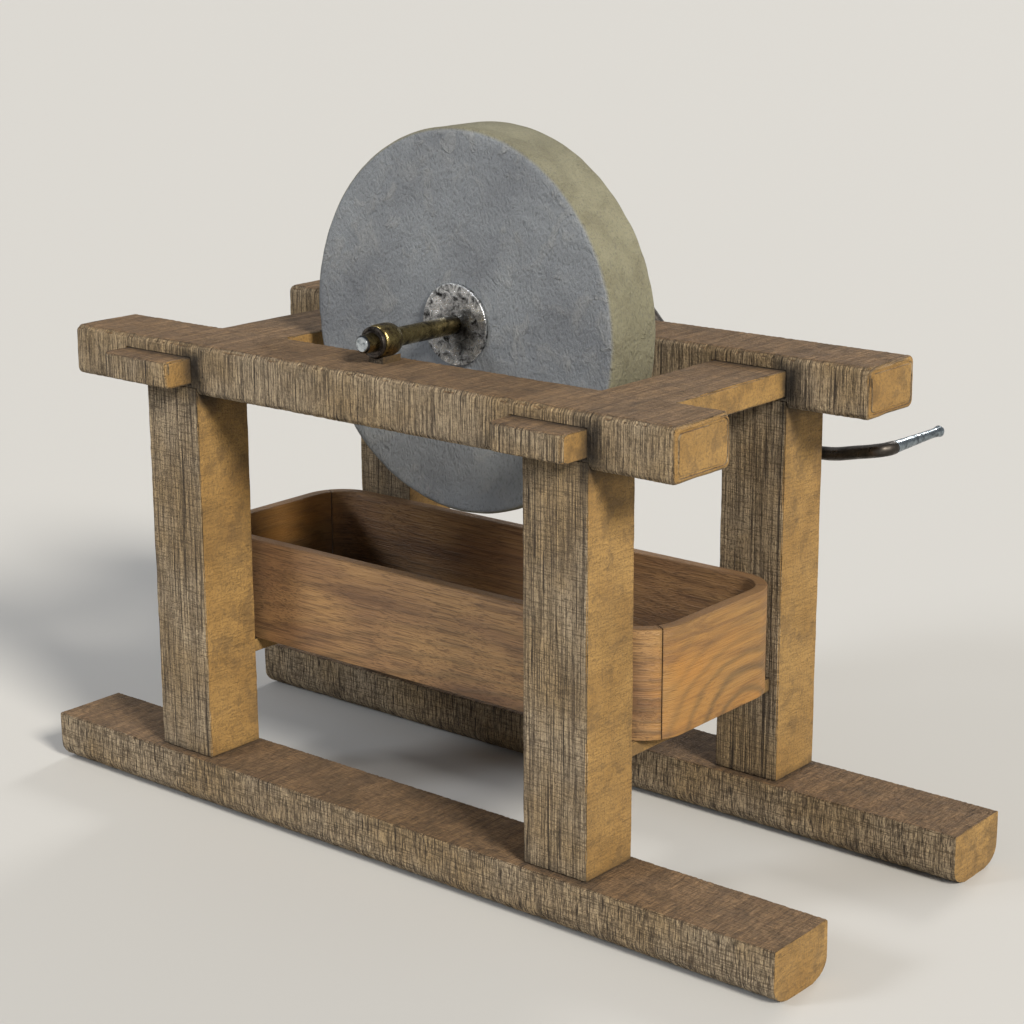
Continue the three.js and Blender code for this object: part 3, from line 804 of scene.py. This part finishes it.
@cache
def trough_core():
    """The rectangle inside which the trough's corner arcs have their centres."""
    low = box("trough_left_end")[0]
    high = box("trough_right_end")[1]
    near = box("trough_near_side")[0].y
    far = box("trough_far_side")[1].y
    middle = Vector(((low.x + high.x) / 2, (near + far) / 2))
    half = Vector(((high.x - low.x) / 2 - CORNER, (far - near) / 2 - CORNER))
    return middle, half


@cache
def wall_path(facing, spread):
    """Points along a board's outer face: (x, y, outward angle), from one seam to the other."""
    middle, half = trough_core()
    out_x, out_y = round(math.cos(facing)), round(math.sin(facing))
    trim = GAP / 2 / CORNER
    steps = 14
    path = []
    for turn in (-1, 1):
        x = middle.x + (out_x - turn * out_y) * half.x
        y = middle.y + (out_y + turn * out_x) * half.y
        seam = facing + turn * (spread - trim)
        start, stop = (seam, facing) if turn < 0 else (facing, seam)
        for step in range(steps + 1):
            angle = start + (stop - start) * step / steps
            path.append((x + CORNER * math.cos(angle), y + CORNER * math.sin(angle), angle))
    first_arc, second_arc = path[: steps + 1], path[steps + 1 :]
    return first_arc + between(first_arc[-1], second_arc[0], 0.006) + second_arc


def wall_section(bottom, top):
    """(depth inwards, height) round a wall board: up the outside, over the rim, down the inside."""
    arris = 0.0022
    rise = top - arris - bottom
    half = [(0.0, bottom + rise * step / 14) for step in range(15)]
    half += [(arris * (1 - math.cos(a)), top - arris * (1 - math.sin(a))) for a in quarter_turn(4)[1:]]
    return half + [(WALL - deep, height) for deep, height in reversed(half)]


def board_place(point, facing):
    """A point in a wall board's own coordinates: along it, above its middle, and 0..1 through it."""
    middle, half = trough_core()
    x, y = point.x - middle.x, point.y - middle.y
    inner = (max(-half.x, min(half.x, x)), max(-half.y, min(half.y, y)))
    out = math.hypot(x - inner[0], y - inner[1])
    angle = math.atan2(y - inner[1], x - inner[0]) - facing
    angle = (angle + math.pi) % (2 * math.pi) - math.pi
    straight = -inner[0] * math.sin(facing) + inner[1] * math.cos(facing)
    low, high = box("trough_near_side")
    return straight + CORNER * angle, point.z - (low.z + high.z) / 2, (CORNER - out) / WALL


def paint_board(obj, place_at):
    """Stores the board's own coordinates at each vertex."""
    layer = obj.data.attributes.new("board", "FLOAT_VECTOR", "POINT")
    layer.data.foreach_set("vector", [v for vertex in obj.data.vertices for v in place_at(vertex.co)])


def add_wall(node, facing, spread, material):
    """A wall board bent round half of two corners, from one seam to the other."""
    low, high = box(node)
    path = wall_path(facing, spread)
    section = wall_section(low.z, high.z)
    rings = []
    for x, y, angle in path:
        outward = Vector((math.cos(angle), math.sin(angle), 0))
        rings.append([Vector((x, y, height)) - outward * deep for deep, height in section])
    wall = loft(node, rings, capped=True)
    soften(wall, 0.0006, 2, 50)

    def depth(point, normal):
        swell = noise.noise(point * 9) * 0.0003
        nick = max(0.0, noise.noise(point * 60) - 0.25) * 0.0016
        return 0.00035 + swell + nick * (1 - max(map(abs, normal)))

    wear(wall, depth)
    paint_board(wall, lambda point: board_place(point, facing))
    seam = max(board_place(Vector((x, y, low.z)), facing)[0] for x, y, _ in path)

    def seam_dirt(point):
        inside = seam - abs(board_place(point, facing)[0])
        return 0.5 * max(0.0, 1 - inside / 0.0015)

    complete(wall, material, node, 50, seam_dirt)


def add_trough_floor(material):
    """The bottom board, inside the walls, with corners rounded to match theirs."""
    node = "trough_floor"
    low, high = box(node)
    size = high - low
    middle = middle_of(node)
    rounding = CORNER - WALL - GAP
    plan = outline(size.x, size.y, [(rounding, rounding)] * 4, 0.012, 10)

    def ring(inset, height):
        shrink = (1 - 2 * inset / size.x, 1 - 2 * inset / size.y)
        return [Vector((middle.x + x * shrink[0], middle.y + y * shrink[1], height)) for x, y in plan]

    insets = (0.001, 0.02, 0.05, 0.09, 0.12)
    under = [ring(inset, low.z) for inset in reversed(insets)]
    sides = [ring(0.0, low.z + 0.001), ring(0.0, high.z - 0.001)]
    upper = [ring(inset, high.z) for inset in insets]
    bottom, top = (Vector((middle.x, middle.y, height)) for height in (low.z, high.z))
    board = loft(node, [[bottom], *under, *sides, *upper, [top]])
    paint_board(board, lambda point: (point.x, point.y - middle.y, 0.8))
    complete(board, material, node, grime_and_shade=lambda point: 0.25 + 0.2 * noise.noise(point * 14))


def add_trough():
    side_wood = trough_wood("trough_sides", (0.30, -0.10), 6.0, 0.007, 0.45)
    end_wood = trough_wood("trough_ends", (0.050, -0.090), 1.5, 0.012, 0.62)
    quarter = math.pi / 2
    add_wall("trough_near_side", -quarter, quarter - SEAM, side_wood)
    add_wall("trough_far_side", quarter, quarter - SEAM, side_wood)
    add_wall("trough_right_end", 0.0, SEAM, end_wood)
    add_wall("trough_left_end", math.pi, SEAM, end_wood)
    add_trough_floor(side_wood)


# ---- Stone, axle and bearings --------------------------------------------------------------
SHAFT = 0.012  # the axle's radius
SQUARE = 0.009  # half the width of its squared far end
STUD = 0.007  # the radius of its thread
BOSS = (0.023, 0.022)  # the crank's boss: its radius, and its length along the axle
LOOSE = 0.0123  # the bore of the rings on the axle


def circle(centre, radius, y, segments, start=0.0):
    """Points round a circle that faces along Y."""
    x, _, z = centre
    angles = [start + a for a in whole_turn(segments)]
    return [Vector((x + radius * math.cos(a), y, z + radius * math.sin(a))) for a in angles]


def turned(node, profile, centre, segments=96):
    """A turned piece on a line along Y through `centre`. profile lists (radius, y), from the axis
    back to the axis, or all the way round a section that stays clear of it."""
    rings = []
    for radius, y in profile:
        if radius == 0:
            rings.append([Vector((centre.x, y, centre.z))])
        else:
            rings.append(circle(centre, radius, y, segments))
    return loft(node, rings, closed=profile[0][0] != 0)


def rounded(points, radius):
    """A polygon of (radius, y) points with each corner but the first and last rounded."""
    result = [points[0]]
    for before, here, after in zip(points, points[1:], points[2:]):
        corner = Vector(here)
        back = Vector(before) - corner
        ahead = Vector(after) - corner
        cut = min(radius, back.length * 0.45, ahead.length * 0.45)
        start = corner + back.normalized() * cut
        stop = corner + ahead.normalized() * cut
        for t in (0, 0.25, 0.5, 0.75, 1):
            spot = start * (1 - t) ** 2 + corner * 2 * t * (1 - t) + stop * t * t
            result.append((spot.x, spot.y))
    return result + [points[-1]]


def add_stone(material):
    """The stone as a ring from its square eye out to a rounded, slightly chipped rim."""
    node = "stone_wheel"
    centre = middle_of(node)
    radius, near, far = extent(node)
    eye = 0.029  # half the width of the square hole
    edge = 0.009  # the rounding of the rim
    flat = [eye + 0.0004] + [eye + (radius - edge - eye) * (k / 26) ** 0.9 for k in range(1, 27)]
    arc = quarter_turn(6)[1:]
    curve = [(radius - edge + edge * math.sin(a), near + edge * (1 - math.cos(a))) for a in arc]
    across = [(radius, near + edge + (far - near - 2 * edge) * k / 14) for k in range(1, 14)]
    front = [(r, near) for r in flat]
    mirrored = [(r, near + far - y) for r, y in reversed(front + curve)]
    bore = [(eye, far - (far - near) * k / 6) for k in range(1, 6)]
    rings = []
    for reach, y in front + curve + across + mirrored + bore:
        ring = []
        for angle in whole_turn(320):
            square = eye / max(abs(math.cos(angle)), abs(math.sin(angle)))
            share = min(1.0, max(0.0, (reach - eye) / 0.03))
            out = square * (1 - share) + max(reach, square) * share
            ring.append(Vector((centre.x + out * math.cos(angle), y, centre.z + out * math.sin(angle))))
        rings.append(ring)
    stone = loft(node, rings, closed=True)
    under_flange = 0.056

    def depth(point, normal):
        out = math.hypot(point.x - centre.x, point.z - centre.z)
        if out < under_flange:
            return 0.0
        dish = 0.0004 * (1 + noise.noise(point * 7))
        flake = 0.0010 * max(0.0, noise.noise(point * 24 + Vector((5, 1, 3))))
        arris = min(1.0, 3.4 * (1 - max(abs(normal.y), math.hypot(normal.x, normal.z))))
        chip = 0.0035 * arris * max(0.0, noise.noise(point * 40) - 0.1)
        return dish + flake + chip

    wear(stone, depth)
    complete(stone, material, node, 50)


def add_axle(material):
    """The round shaft, its square middle in the stone's eye, and its squared and threaded far end."""
    node = "axle"
    low, high = box(node)
    centre = middle_of("stone_wheel")
    stone_low, stone_high = box("stone_wheel")
    nut_near = box("crank_nut")[0].y
    boss_near = nut_near - GAP - BOSS[1]
    stop = boss_near - GAP
    chamfer = 0.0007
    steps = 90
    length = [(SHAFT, low.y + (stop - low.y) * step / steps) for step in range(1, steps)]
    profile = [(0, low.y), (SHAFT - chamfer, low.y), *length, (SHAFT - chamfer, stop), (0, stop)]
    shaft = turned(node, profile, centre, 64)

    def squared(half, y0, y1):
        low_corner = Vector((centre.x - half, y0, centre.z - half))
        return block(low_corner, Vector((centre.x + half, y1, centre.z + half)))

    inset = 0.00015
    eye_part = squared((high.x - low.x) / 2, stone_low.y + inset, stone_high.y - inset)
    crank_part = squared(SQUARE, boss_near - 0.001, nut_near - 0.001)
    pitch = 0.0018
    root = nut_near - 0.002
    thread = [(0, root)]
    for turn in range(int((high.y - 0.001 - nut_near) / pitch)):
        y = root + turn * pitch
        thread += [(STUD - 0.0006, y + 0.0001), (STUD, y + pitch / 2)]
    thread += [(STUD - 0.0014, high.y), (0, high.y)]
    stub = turned("tool", thread, centre, 48)
    combine(shaft, [eye_part, crank_part, stub], "UNION")
    flanges = [box(f"{side}_flange") for side in SIDES]
    # The shaft is painted darker towards the flanges, as painted shade and dark reflection there.
    complete(shaft, material, node, grime_and_shade=grime_and_shade_from(flanges, 0.045, 0.9))


def outwards_in(node, side):
    """A turned node's radius, its end away from the stone and its end towards it."""
    radius, start, stop = extent(node)
    return (radius, start, stop) if side == "near" else (radius, stop, start)


def add_bush(side, material):
    """The tube that the axle turns in: a rounded lip outside, and a long taper towards the stone."""
    node = f"{side}_bearing_bush"
    bore = 0.01208
    radius, outer, inner = outwards_in(node, side)
    outward = math.copysign(1, outer - inner)

    def curve(end, deep, long):
        """A quarter ellipse that rounds an end off. `long` goes towards the far side if positive."""
        arc = quarter_turn(6)
        return [(radius - deep * (1 - math.sin(a)), end + long * (1 - math.cos(a))) for a in arc]

    lip = curve(outer, 0.003, -outward * 0.005)
    taper = curve(inner, 0.006, outward * 0.014)
    profile = [(bore, outer), *lip, *reversed(taper), (bore, inner)]
    complete(turned(node, profile, middle_of("stone_wheel")), material, node, 45)


def add_thrust_ring(side, material):
    """The ring against the bush, with a raised band round its outer face."""
    node = f"{side}_thrust_ring"
    radius, outer, inner = outwards_in(node, side)
    recess = -math.copysign(0.0012, outer - inner)
    chamfer = 0.0008
    profile = [(LOOSE, inner), (LOOSE, outer + recess), (0.0150, outer + recess), (0.0160, outer),
               (radius - chamfer, outer), (radius, outer + recess * 0.7),
               (radius, inner - recess * 0.7), (radius - chamfer, inner)]
    complete(turned(node, profile, middle_of("stone_wheel")), material, node, 30)


def add_flange(side, material):
    """A dented disc against the stone, painted dark round its middle as shadow and reflection."""
    node = f"{side}_flange"
    centre = middle_of("stone_wheel")
    radius, near, far = extent(node)
    last = radius - 0.003
    reaches = [LOOSE + (last - LOOSE) * step / 8 for step in range(9)]
    edge = rounded([(last, near), (radius, near), (radius, far), (last, far)], 0.0012)
    profile = [(r, near) for r in reaches] + edge[1:-1] + [(r, far) for r in reversed(reaches)]
    flange = turned(node, profile, centre, 128)
    # Painted shadow and dark reflection round the middle, set a little right of and below the axle.
    shadow_and_reflection_centre = centre + Vector((0.010, 0, -0.006))

    def painted_shadow_and_reflection(point):
        spread = math.hypot(point.x - shadow_and_reflection_centre.x, point.z - shadow_and_reflection_centre.z) / 0.038
        return 0.85 * min(1.0, max(0.0, 1.25 - spread + 0.5 * noise.noise(point * 60)))

    paint(flange, "grime_and_shade", painted_shadow_and_reflection)
    wear(flange, lambda point, normal: max(0.0, noise.noise(point * 38)) * 0.0006)
    complete(flange, material, node)


def add_end_cap(material):
    """A shallow cap on the axle's near end, painted dark outside its bright middle as shade where it
    meets the axle.
    """
    node = "axle_end_cap"
    centre = middle_of("stone_wheel")
    radius, near, far = extent(node)
    face = radius - 0.0019
    steps = [(0, near), (face / 2, near), (face - 0.0008, near), (face, near + 0.0006)]
    steps += [(face + 0.0003, near + 0.0012), (radius, far - 0.0008), (radius, far), (0, far)]
    cap = turned(node, steps, centre, 64)

    # Painted shade on the cap outside its bright middle face.
    def darkening(point):
        return 0.9 * (math.hypot(point.x - centre.x, point.z - centre.z) > face + 0.0001)

    complete(cap, material, node, grime_and_shade=darkening)


# ---- Crank ---------------------------------------------------------------------------------
BAR = 0.0095  # the bar's radius
PIN = 0.004  # the radius of the pin that the grip turns on
PIN_BORE = 0.0043
# The swan-neck's centreline as offsets from the axle in X and Z, from the boss to the bend.
NECK = ((0, 0), (0.070, -0.072), (0.158, -0.150), (0.243, -0.189), (0.3226, -0.1923), (0.3775, -0.1825))


def smooth_path(points, per_span):
    """A Catmull-Rom curve through points."""
    padded = [points[0] * 2 - points[1], *points, points[-1] * 2 - points[-2]]
    path = []
    for a, b, c, d in zip(padded, padded[1:], padded[2:], padded[3:]):
        for step in range(per_span):
            t = step / per_span
            path.append(
                0.5 * (b * 2 + (c - a) * t + (a * 2 - b * 5 + c * 4 - d) * t * t
                       + (b * 3 - a - c * 3 + d) * t * t * t)
            )
    return path + [points[-1]]


def tube(node, path, radius_at):
    """A round bar along a path, closed at both ends. radius_at takes the share of the path."""
    rings = [[path[0]]]
    side = None
    for at, point in enumerate(path):
        ahead = (path[min(at + 1, len(path) - 1)] - path[max(at - 1, 0)]).normalized()
        if side is None:
            side = ahead.orthogonal().normalized()
        side = (side - ahead * side.dot(ahead)).normalized()
        up = ahead.cross(side)
        radius = radius_at(at / (len(path) - 1))
        angles = whole_turn(24)
        rings.append([point + (side * math.cos(a) + up * math.sin(a)) * radius for a in angles])
    return loft(node, rings + [[path[-1]]])


def add_crank(material):
    """A forged swan-neck: one bar that swells into a round boss and bends out to the pin."""
    node = "crank_arm"
    centre = middle_of("stone_wheel")
    grip = middle_of("handle_grip")
    boss_far = box("crank_nut")[0].y - GAP
    boss_near = boss_far - BOSS[1]
    plane = (boss_near + boss_far) / 2
    seam = box("handle_washer")[0].y - GAP
    bend = seam - plane
    rise = 0.19
    route = [Vector((centre.x + x, plane, centre.z + z)) for x, z in NECK]
    for share in (0.25, 0.62, 0.97):
        angle = share * math.pi / 2
        back = bend * (1 - math.sin(angle))
        out = bend * (1 - math.cos(angle))
        route.append(Vector((grip.x - back, plane + out, grip.z - back * rise)))
    route.append(Vector((grip.x, seam + 0.004, grip.z)))
    path = smooth_path(route, 12)
    bar = tube(node, path, lambda share: BAR - 0.0011 * max(0.0, share - 0.88) / 0.12)
    corners = [(0, boss_near), (BOSS[0], boss_near), (BOSS[0], boss_far), (0, boss_far)]
    combine(bar, [turned("tool", rounded(corners, 0.004), centre, 64)], "UNION")
    blend = bar.modifiers.new("forge", "REMESH")
    blend.mode = "VOXEL"
    blend.voxel_size = 0.0011
    calm = bar.modifiers.new("calm", "SMOOTH")
    calm.factor = 0.6
    calm.iterations = 10
    settle(bar)
    wear(bar, lambda point, normal: 0.0002 * (1 + noise.noise(point * 25)))

    hole = Vector((SQUARE + GAP, BEYOND, SQUARE + GAP))
    boss_start = Vector((centre.x, boss_near, centre.z))
    boss_end = Vector((centre.x, boss_far, centre.z))
    square = block(boss_start - hole, boss_end + hole)
    around = Vector((0.03, 0, 0.03))
    end = Vector((grip.x, seam, grip.z))
    past_seam = block(end - around, end + around + Vector((0, 2 * BEYOND, 0)))
    combine(bar, [square, past_seam], "DIFFERENCE")
    root, tip = seam - 0.006, box("handle_rivet")[0].y - GAP
    pin = rounded([(0, root), (PIN, root), (PIN, tip), (0, tip)], 0.0003)
    combine(bar, [turned("tool", pin, grip, 32)], "UNION")
    # The bronze near the seam is partly heat tint and partly a painted gold highlight.
    paint(bar, "heat", lambda point: max(0.0, 1 - (point - end).length / 0.085))
    complete(bar, material, node, 40)


def add_nut(material):
    """A hexagon nut with its corners turned off on both faces."""
    node = "crank_nut"
    low, high = box(node)
    centre = middle_of(node)
    wide, tall = high.x - low.x, high.z - low.z
    flat = min(wide, tall) / 2
    corner = flat / math.cos(math.pi / 6)
    start = math.pi / 2 if tall > wide else 0.0
    nut = loft(node, [circle(centre, corner, y, 6, start) for y in (low.y, high.y)], capped=True)
    slope = 0.0016
    clear = 0.0001
    outside = corner + 0.0004
    cone = [(0, low.y - clear), (flat, low.y - clear), (outside, low.y + slope),
            (outside, high.y - slope), (flat, high.y + clear), (0, high.y + clear)]
    combine(nut, [turned("tool", cone, centre, 72)], "INTERSECT")
    bore = STUD + GAP
    start, stop = low.y - BEYOND, high.y + BEYOND
    drill = turned("tool", [(0, start), (bore, start), (bore, stop), (0, stop)], centre, 40)
    combine(nut, [drill], "DIFFERENCE")
    complete(nut, material, node, 25)


def add_grip(material):
    """A tube that narrows from its root to a waist and flares a little at its end."""
    node = "handle_grip"
    _, start, stop = extent(node)
    bore, root, waist, flare = 0.00415, 0.0086, 0.0062, 0.0080
    waist_at, flare_at = 0.78, 0.86
    outside = []
    for step in range(25):
        share = step / 24
        radius = root + (waist - root) * min(1.0, share / waist_at) ** 0.8
        if share > flare_at:
            radius += (flare - waist) * ((share - flare_at) / (1 - flare_at)) ** 1.7
        outside.append((radius, start + (stop - start) * share))
    chamfer = 0.0009
    inner_chamfer = 0.0006
    profile = [(bore, start), (root - 0.0010, start), (root, start + chamfer), *outside[1:-1]]
    rim = outside[-1][0]
    profile += [(rim, stop - chamfer), (rim - 0.0008, stop)]
    profile += [(bore + inner_chamfer, stop), (bore, stop - inner_chamfer)]
    complete(turned(node, profile, middle_of(node), 64), material, node, 40)


def add_washer(material):
    """The washer between the crank and the grip, dark iron painted nearly black as the shade in that
    seam.
    """
    node = "handle_washer"
    radius, start, stop = extent(node)
    edge = 0.0003
    section = [(PIN_BORE, start), (radius - edge, start), (radius, start + edge),
               (radius, stop - edge), (radius - edge, stop), (PIN_BORE, stop)]
    washer = turned(node, section, middle_of("handle_grip"), 64)
    # The washer is painted nearly black all over, as the shade in the seam between crank and grip.
    complete(washer, material, node, 30, lambda point: 0.9)


def add_rivet(material):
    """The riveted button that keeps the grip on its pin."""
    node = "handle_rivet"
    radius, start, stop = extent(node)
    seat = extent("handle_grip")[2] + GAP
    rise = 0.0050
    arc = quarter_turn(7)[:-1]
    dome = [(radius * math.cos(a), stop - rise + rise * math.sin(a)) for a in arc]
    profile = [(0, start), (PIN_BORE, start), (PIN_BORE, seat), (radius, seat), *dome, (0, stop)]
    complete(turned(node, profile, middle_of("handle_grip"), 48), material, node)


# ---- The whole -----------------------------------------------------------------------------
add_camera()
add_studio()
add_timbers()
add_trough()
add_stone(sandstone(middle_of("stone_wheel"), extent("stone_wheel")[0]))
metals = {
    "bronze": metal("tarnished_bronze", "9c8b5c", "3d3427", 110, 0.22),
    "axle": metal("oiled_axle", "94845a", "332c1d", 70, 0.22, 0.52),
    # The flanges' near-white and near-black patches are partly wear and partly painted reflections.
    "worn": metal("worn_steel", "f2f4f6", "1f1e1f", 85, 0.20, 0.51, 0.0009),
    "dark": metal("dark_iron", "6b6560", "2a2725", 110, 0.42, 0.46),
    "forged": metal("forged_iron", "746e68", "433f3b", 28, 0.22, 0.50, 0.0002),
    "bright": metal("bright_steel", "c6ccd1", "6c7378", 150, 0.2, 0.54, 0.0002),
    "grip": metal("grip_steel", "8f9aa1", "424a50", 130, 0.22, 0.52, 0.0002),
}
add_axle(metals["axle"])
add_end_cap(metals["bright"])
for side in SIDES:
    add_bush(side, metals["bronze"])
    add_thrust_ring(side, metals["dark"])
    add_flange(side, metals["worn"])
add_crank(metals["forged"])
add_nut(metals["dark"])
add_grip(metals["grip"])
add_washer(metals["dark"])
add_rivet(metals["bright"])
